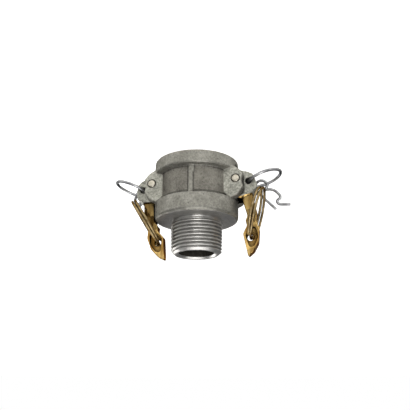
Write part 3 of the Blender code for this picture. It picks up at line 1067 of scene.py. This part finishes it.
@dataclass
class PipeThread:
    """The threaded stub: a 1 inch taper pipe thread cut as a true helix."""

    pitch: float = 25.4 / 11.5
    depth: float = 1.35
    crest_flat: float = 0.16
    end_radius: float = 16.1
    root_radius: float = 16.75
    low: float = 38.8
    shoulder: float = 39.3
    fillet: float = 0.5
    high: float = 61.1
    chamfer: float = 2.2
    chamfer_slope: float = 0.8
    undercut_radius: float = 15.65
    undercut_width: float = 1.6
    runout_slope: float = 1.2
    bore_radius: float = 11.26
    bore_chamfer: float = 1.3
    bore_skin: float = 0.4
    edge: float = 0.1
    steps: int = 192
    rows_per_turn: int = 12
    body: str = "coupler"

    def radius(self, height: np.ndarray, turn: float) -> np.ndarray:
        """Returns the outside radius of the stub.

        Args:
            height: heights in millimetres
            turn: how far round the stub, 0 to 1

        Returns:
            The radius at each height.
        """
        share = (height - self.shoulder) / (self.high - self.shoulder)
        crest = self.root_radius + (self.end_radius - self.root_radius) * share
        phase = np.mod(height / self.pitch - turn, 1.0)
        ridge = abs(2 * phase - 1)
        flat = self.crest_flat
        cut = np.clip((ridge - flat) / (1 - 2 * flat), 0, 1)
        cone = self.end_radius - self.chamfer + (self.high - height) / self.chamfer_slope
        runout = self.undercut_radius + np.clip(
            height - self.shoulder - self.undercut_width, 0, None) * self.runout_slope
        fillet = np.clip(self.shoulder + self.fillet - height, 0, self.fillet)
        return np.minimum.reduce([crest - self.depth * cut, cone, runout]) + fillet

    def build(self) -> None:
        """Builds the stub with its end face and bore."""
        wide, edge = self.bore_radius + self.bore_chamfer, self.edge
        end = [(wide + 2 * edge, self.high), (wide, self.high - edge),
               (self.bore_radius + edge, self.high - self.bore_chamfer),
               (self.bore_radius, self.high - self.bore_chamfer - 2 * edge),
               (self.bore_radius, self.low)]
        turns = (self.high - self.low) / self.pitch + 2
        indices = np.arange(int(turns * self.rows_per_turn) + 1)
        columns = []
        for step in range(self.steps + 1):
            turn = step / self.steps
            height = self.low + self.pitch * (indices / self.rows_per_turn + turn - 1)
            height = np.clip(height, self.low, self.high)
            section = list(zip(self.radius(height, turn), height)) + end
            angle = FULL_TURN * turn
            columns.append([(r * math.cos(angle), r * math.sin(angle), z) for r, z in section])
        piece = grid_piece("pipe_thread", np.array(columns), wrap_rows=False, wrap_columns=True)
        centres, _ = face_facts(piece.data)
        bore = np.hypot(centres[:, 0], centres[:, 1]) < self.bore_radius + self.bore_skin
        dress(piece, TURNED, SHADED_BORE_CAST, zones=bore)
        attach(piece, self.body)
        report(piece)


@dataclass
class Gasket:
    """The rubber ring in its groove, with a moulding line round its bore."""

    outer: float = 19.85
    inner: float = 13.5
    low: float = 27.7
    high: float = 34.05
    edge: float = 0.8
    edge_steps: int = 4
    flash: float = 0.12
    flash_width: float = 0.3
    steps: int = 144
    body: str = "coupler"

    def build(self) -> None:
        """Builds the gasket."""
        middle, e, bends = (self.low + self.high) / 2, self.edge, self.edge_steps
        profile = [
            *arc((self.outer - e, self.high - e), e, 90, 0, bends),
            *arc((self.outer - e, self.low + e), e, 0, -90, bends),
            *arc((self.inner + e, self.low + e), e, -90, -180, bends),
            (self.inner, middle - self.flash_width), (self.inner - self.flash, middle),
            (self.inner, middle + self.flash_width),
            *arc((self.inner + e, self.high - e), e, 180, 90, bends),
        ]
        piece = turned("gasket_ring", profile, self.steps)
        dress(piece, RUBBER)
        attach(piece, self.body)
        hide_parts("gasket")
        report(piece)


@dataclass
class Stance:
    """How one arm and what it carries stand at rest, in the frame of the closed arm.

    Angles are in degrees. The clip's numbers give the point of the ring that it hooks
    on, the way its legs trail and rise from there, its roll and how far it has slid.
    """

    side: Side
    open: float
    pull_twist: float
    ring_drop: float
    ring_twist: float
    clip_hook: float
    clip_trail: float
    clip_rise: float
    clip_roll: float
    clip_seat: float


@dataclass
class ArmSide:
    """One pin with its arm, pull ring, wire ring and spring clip."""

    stance: Stance
    pin_radius: float = 2.38
    pin_half_length: float = 13.2
    pin_dome: float = 0.25
    pin_edge: float = 0.4
    pin_steps: int = 64
    arm_half: float = 6.1
    arm_voxel: float = 0.24
    arm_passes: int = 8
    head_top: float = 10.2
    clip_hole: tuple[float, float] = (7.3, 1.9)
    pull_hole: tuple[float, float] = (-2.1, 36.9)
    pull_ring_radius: float = 16.6
    pull_wire_radius: float = 0.85
    pull_ring_turns: float = 1.9
    pull_ring_steps: int = 180
    pull_ring_clearance: float = 0.6
    coil_gap: float = 0.3
    # How steeply one coil crosses to the other: at 1 it would take their whole overlap.
    crossing: float = 2.1
    head_corner: tuple[float, float] = (11.54, 8.04)
    clip_ring_radius: float = 11.2
    clip_ring_steps: int = 144
    clip_wire_radius: float = 1.0
    clip_play: float = 0.05
    clip_reach: float = 21.6
    clip_head_radius: float = 4.4
    clip_head_end: float = -295.0
    clip_head_steps: int = 28
    clip_leg_points: int = 12
    # The clip's legs, from tip to head and from head to tip, in shares of its reach.
    straight_leg: tuple[float, float] = (0.776, 0.04)
    wavy_leg: tuple[tuple[float, float], ...] = (
        (0.15, 0.04), (0.19, 0.07), (0.25, 0.135), (0.34, 0.185), (0.44, 0.205),
        (0.54, 0.20), (0.61, 0.185), (0.65, 0.135), (0.64, 0.07), (0.645, 0.01),
        (0.69, -0.015), (0.76, -0.01), (0.87, 0.08), (1.0, 0.205))

    @property
    def word(self) -> str:
        """Returns the side's name."""
        return self.stance.side.word

    def placed(self, points: np.ndarray) -> np.ndarray:
        """Moves points from the closed right arm's frame around its pin to their place at rest.

        Args:
            points: places in millimetres, x away from the pipe and z along it

        Returns:
            The same points in the coupler's frame.
        """
        turn = math.radians(self.stance.open)
        x = points[:, 0] * math.cos(turn) + points[:, 2] * math.sin(turn)
        z = points[:, 2] * math.cos(turn) - points[:, 0] * math.sin(turn)
        sign = self.stance.side.value
        return np.stack([sign * (x + PIN_DISTANCE), points[:, 1], z + PIN_HEIGHT], 1)

    def along_arm(self, points: np.ndarray) -> np.ndarray:
        """Measures how far along the arm points lie, from its pin towards its tip.

        Args:
            points: places in the coupler's frame, in millimetres

        Returns:
            The distance of each point.
        """
        turn = math.radians(self.stance.open)
        x = points[:, 0] * self.stance.side.value - PIN_DISTANCE
        return (points[:, 2] - PIN_HEIGHT) * math.cos(turn) + x * math.sin(turn)

    def make_pin(self) -> None:
        """Makes the pivot pin, with slightly domed and broken ends."""
        r, end, dome, edge = self.pin_radius, self.pin_half_length, self.pin_dome, self.pin_edge
        half = [(0.0, end), (r * 0.5, end - dome * 0.25), (r - edge, end - dome),
                (r - edge * 0.3, end - dome - edge * 0.35), (r, end - dome - edge)]
        profile = half + [(x, -y) for x, y in reversed(half)]
        pin = turned(f"{self.word}_pin", profile, self.pin_steps, Axis.Y)
        sign = self.stance.side.value
        pin.data.transform(Matrix.Translation((sign * PIN_DISTANCE * MM, 0.0, PIN_HEIGHT * MM)))
        dress(pin, PIN)
        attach(pin, "coupler")
        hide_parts(f"{self.word}_pivot_pin")
        report(pin)

    def make_arm(self, frame: dict[str, dict]) -> None:
        """Makes the cam arm: bright brass with a ground grey head.

        Args:
            frame: the CAD frame, with its nodes by name
        """
        arm = refined(f"{self.word}_cam_arm", frame["nodes"][f"{self.word}_arm"],
                      self.arm_voxel, self.arm_passes)
        centres, _ = face_facts(arm.data)
        dress(arm, BRASS, GROUND, zones=self.along_arm(centres) < self.head_top)
        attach(arm, f"{self.word}_lever")
        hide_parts(f"{self.word}_arm")
        report(arm)

    def pull_ring_lean(self) -> float:
        """Works out how the pull ring leans on the corner of the arm's head.

        Returns:
            The angle between the ring and the arm, in radians.
        """
        out = self.head_corner[0] - self.pull_hole[0]
        down = self.pull_hole[1] - self.head_corner[1]
        clear = (2 * self.pull_wire_radius + self.coil_gap / 2 + self.pull_ring_clearance
                 + self.arm_half * math.sin(math.radians(self.stance.pull_twist)))
        return math.atan2(out, down) + math.asin(clear / math.hypot(out, down))

    def make_pull_ring(self) -> None:
        """Makes the split ring: two flat coils that cross over where their ends lie."""
        lean = self.pull_ring_lean()
        hang = Vector((math.sin(lean), 0.0, -math.cos(lean)))
        turn = Matrix.Rotation(math.radians(self.stance.pull_twist), 3, hang)
        across = np.array(turn @ Vector((0.0, 1.0, 0.0)))
        normal = np.array(turn @ Vector((math.cos(lean), 0.0, math.sin(lean))))
        turns, radius = self.pull_ring_turns, self.pull_ring_radius
        share = np.linspace(-0.5, 0.5, self.pull_ring_steps + 1)[:, None]
        angle = np.pi + share * FULL_TURN * turns
        pitch = 2 * self.pull_wire_radius + self.coil_gap
        lift = pitch * np.clip(self.crossing * share * turns / (turns - 1), -0.5, 0.5)
        path = (np.array(hang) * radius * (1 + np.cos(angle)) + across * radius * np.sin(angle)
                + normal * lift + (self.pull_hole[0], 0.0, self.pull_hole[1]))
        ring = wire(f"{self.word}_split_ring", self.placed(path), self.pull_wire_radius)
        dress(ring, RING_BRASS)
        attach(ring, f"{self.word}_pull")
        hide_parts(f"{self.word}_pull_ring")
        report(ring)

    def clip_ring_centre(self) -> float:
        """Works out where the wire ring hangs, with the arm's head inside its curve.

        Returns:
            The distance of the ring's centre from its hole.
        """
        radius = self.clip_ring_radius
        sagitta = radius - math.sqrt(radius ** 2 - self.arm_half ** 2)
        return radius - sagitta / 2

    def clip_ring_axes(self) -> tuple[Vector, Vector, Vector]:
        """Works out the wire ring's own axes.

        Returns:
            The directions away from its hole, across it and square to it.
        """
        drop = math.radians(self.stance.ring_drop - self.stance.open)
        away = Vector((math.cos(drop), 0.0, -math.sin(drop)))
        turn = Matrix.Rotation(math.radians(self.stance.ring_twist), 3, away)
        normal = turn @ Vector((math.sin(drop), 0.0, math.cos(drop)))
        return away, turn @ Vector((0.0, 1.0, 0.0)), normal

    def make_clip_ring(self) -> None:
        """Makes the welded wire ring through the arm's head."""
        angle = np.linspace(0, FULL_TURN, self.clip_ring_steps, endpoint=False)[:, None]
        away, across, _ = (np.array(axis) for axis in self.clip_ring_axes())
        path = (away * (self.clip_ring_centre() + self.clip_ring_radius * np.cos(angle))
                + across * self.clip_ring_radius * np.sin(angle)
                + (self.clip_hole[0], 0.0, self.clip_hole[1]))
        ring = wire(f"{self.word}_wire_ring", self.placed(path), self.clip_wire_radius,
                    closed=True)
        dress(ring, STEEL)
        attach(ring, f"{self.word}_clip_loop")
        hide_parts(f"{self.word}_clip_ring")
        report(ring)

    def clip_axes(self) -> tuple[Vector, Vector, Vector]:
        """Works out where the clip hooks on its ring and how it lies.

        Returns:
            The hook point, from the ring's hole, and the directions along and across the clip.
        """
        stance = self.stance
        away, across, normal = self.clip_ring_axes()
        hook = math.radians(180 - stance.clip_hook)
        outward = away * math.cos(hook) + across * math.sin(hook)
        point = away * self.clip_ring_centre() + outward * self.clip_ring_radius
        tangent = away * math.sin(hook) - across * math.cos(hook)
        trail, rise = math.radians(stance.clip_trail), math.radians(stance.clip_rise)
        flat = outward * math.cos(trail) + tangent * math.sin(trail)
        level = tangent * math.cos(trail) - outward * math.sin(trail)
        length = flat * math.cos(rise) + normal * math.sin(rise)
        turn = Matrix.Rotation(math.radians(stance.clip_roll), 3, length)
        return point, length, turn @ level

    def clip_plan(self) -> Outline:
        """Draws the clip in its own plane: a straight leg, a round head and a wavy leg.

        Returns:
            The middle line of its wire.
        """
        r, reach = self.clip_head_radius, self.clip_reach
        shares = np.linspace(*self.straight_leg, self.clip_leg_points)
        straight = [(reach * share, -r) for share in shares]
        head = arc((0.0, 0.0), r, -90, self.clip_head_end, self.clip_head_steps)
        knots = [(x * reach, y * reach) for x, y in self.wavy_leg]
        return straight + head + smooth([head[-1]] + knots)[1:]

    def make_clip(self) -> None:
        """Makes the spring clip that hangs on the wire ring."""
        point, length, across = self.clip_axes()
        hole = Vector((self.clip_hole[0], 0.0, self.clip_hole[1]))
        path = np.array([hole + point + length * (x + self.stance.clip_seat) + across * y
                         for x, y in self.clip_plan()])
        clip = wire(f"{self.word}_spring_clip", self.placed(path),
                    self.clip_wire_radius - self.clip_play)
        dress(clip, STEEL)
        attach(clip, f"{self.word}_clip")
        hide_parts(f"{self.word}_safety_clip")
        report(clip)

    def build(self, frame: dict[str, dict]) -> None:
        """Builds everything on this side.

        Args:
            frame: the CAD frame, with its nodes by name
        """
        self.make_pin()
        self.make_arm(frame)
        self.make_pull_ring()
        self.make_clip_ring()
        self.make_clip()


RIGHT_STANCE = Stance(Side.RIGHT, open=0.0, pull_twist=7.0, ring_drop=20.5, ring_twist=3.0,
                      clip_hook=90.0, clip_trail=10.0, clip_rise=5.0, clip_roll=90.0,
                      clip_seat=1.9)
LEFT_STANCE = Stance(Side.LEFT, open=15.0, pull_twist=0.0, ring_drop=18.5, ring_twist=0.0,
                     clip_hook=70.0, clip_trail=88.6, clip_rise=62.3, clip_roll=48.0,
                     clip_seat=1.2)


@dataclass(frozen=True)
class Softbox:
    """A square lamp: its place and width in millimetres, and its power in watts."""

    name: str
    place: tuple[float, float, float]
    width: float
    power: float


@dataclass
class Studio:
    """The table, the light and the photograph's camera."""

    image_size: float = 410.0
    focal_pixels: float = 546.14
    sensor: float = 36.0
    clip_start: float = 10.0
    distance: float = 356.93
    elevation: float = 18.56
    yaw: float = 10.86
    target_across: float = 5.4
    target_down: float = 27.68
    table_radius: float = 9000.0
    table_steps: int = 96
    plinth_gap: float = 0.02
    plinth_radius: float = 25.0
    plinth_height: float = 45.0
    horizon: str = "#FFFFFF"
    ceiling: str = "#434447"
    haze_low: float = 0.10
    haze_high: float = 0.22
    lamp_aim: float = 30.0
    lamps: tuple[Softbox, ...] = (
        Softbox("overhead_softbox", (-60.0, -40.0, 560.0), 460.0, 1.7),
        Softbox("front_softbox", (-120.0, -440.0, 440.0), 300.0, 2.0),
        Softbox("back_softbox", (360.0, 330.0, 300.0), 320.0, 1.4),
    )

    def make_table(self) -> None:
        """Makes the light table, with a plinth that leaves room below for rings and arms."""
        profile = [(0.0, -self.plinth_gap), (self.plinth_radius, -self.plinth_gap),
                   (self.plinth_radius, -self.plinth_height),
                   (self.table_radius, -self.plinth_height)]
        angles = np.linspace(0, FULL_TURN, self.table_steps, endpoint=False)
        rows = np.array([[(r * math.cos(a), r * math.sin(a), z) for a in angles]
                         for r, z in profile])
        table = grid_piece("table", rows, wrap_rows=False, wrap_columns=True)
        if table.data.polygons[0].normal.z < 0:
            table.data.flip_normals()
        dress(table, TABLE)
        table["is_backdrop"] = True

    def make_light(self) -> None:
        """Makes a surround that is white at the horizon and grey above, and the softboxes."""
        world = bpy.data.worlds.new("white tent")
        world.use_nodes = True
        tree = world.node_tree
        look = add_node(tree, "ShaderNodeTexCoord").outputs["Generated"]
        height = add_node(tree, "ShaderNodeSeparateXYZ", {}, {0: look}).outputs[2]
        haze = add_node(tree, "ShaderNodeMapRange",
                        {"interpolation_type": "SMOOTHSTEP", "From Min": self.haze_low,
                         "From Max": self.haze_high}, {"Value": height})
        mix = add_node(tree, "ShaderNodeMix",
                       {"data_type": "RGBA", 6: linear(self.horizon), 7: linear(self.ceiling)},
                       {0: haze.outputs[0]})
        tree.links.new(mix.outputs[2], tree.nodes["Background"].inputs["Color"])
        bpy.context.scene.world = world
        bpy.context.scene.view_settings.view_transform = "Standard"
        for softbox in self.lamps:
            light = bpy.data.lights.new(softbox.name, "AREA")
            light.size = softbox.width * MM
            light.energy = softbox.power
            lamp = bpy.data.objects.new(softbox.name, light)
            lamp.location = Vector(softbox.place) * MM
            aim = Vector((0.0, 0.0, self.lamp_aim * MM)) - lamp.location
            lamp.rotation_euler = aim.to_track_quat("-Z", "Y").to_euler()
            bpy.context.scene.collection.objects.link(lamp)

    def make_camera(self) -> None:
        """Makes the photograph's camera, which sees the coupler upside down."""
        yaw, elevation = math.radians(self.yaw), math.radians(self.elevation)
        back = Vector((math.sin(yaw) * math.cos(elevation), -math.cos(yaw) * math.cos(elevation),
                       -math.sin(elevation)))
        right = Vector((math.cos(yaw), math.sin(yaw), 0.0))
        up = right.cross(-back)
        target = Vector((self.target_across * math.cos(yaw), self.target_across * math.sin(yaw),
                         -self.target_down))
        eye = target + self.distance * back
        turned_over = Matrix.Diagonal((-1.0, 1.0, -1.0))
        axes = Matrix([turned_over @ right, turned_over @ up, turned_over @ back]).transposed()
        lens = bpy.data.cameras.new("camera")
        lens.sensor_width = self.sensor
        lens.lens = self.focal_pixels / self.image_size * self.sensor
        lens.clip_start = self.clip_start * MM
        camera = bpy.data.objects.new("camera", lens)
        camera.matrix_world = Matrix.Translation(turned_over @ eye * MM) @ axes.to_4x4()
        bpy.context.scene.collection.objects.link(camera)
        bpy.context.scene.camera = camera

    def build(self) -> None:
        """Builds the table, the light and the camera."""
        self.make_table()
        self.make_light()
        self.make_camera()
        LOG.info("studio: table, light and camera")


def plain(box: object) -> object:
    """Turns a box to plain lists of numbers.

    Args:
        box: a box, a row of it or one of its numbers

    Returns:
        The same in plain lists, dictionaries and floats.
    """
    if isinstance(box, dict):
        return {key: plain(value) for key, value in box.items()}
    if isinstance(box, (int, float)):
        return float(box)
    return [plain(value) for value in box]


def main() -> None:
    """Builds the coupler's looks and the studio."""
    logging.basicConfig(level=logging.INFO, format="%(name)s: %(message)s")
    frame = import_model()
    cad_box = plain(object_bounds())
    Casting().build(frame)
    PipeThread().build()
    Gasket().build()
    for stance in (RIGHT_STANCE, LEFT_STANCE):
        ArmSide(stance).build(frame)
    Studio().build()
    {"cad": cad_box, "visual": plain(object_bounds())}


if __name__ == "__main__":
    main()
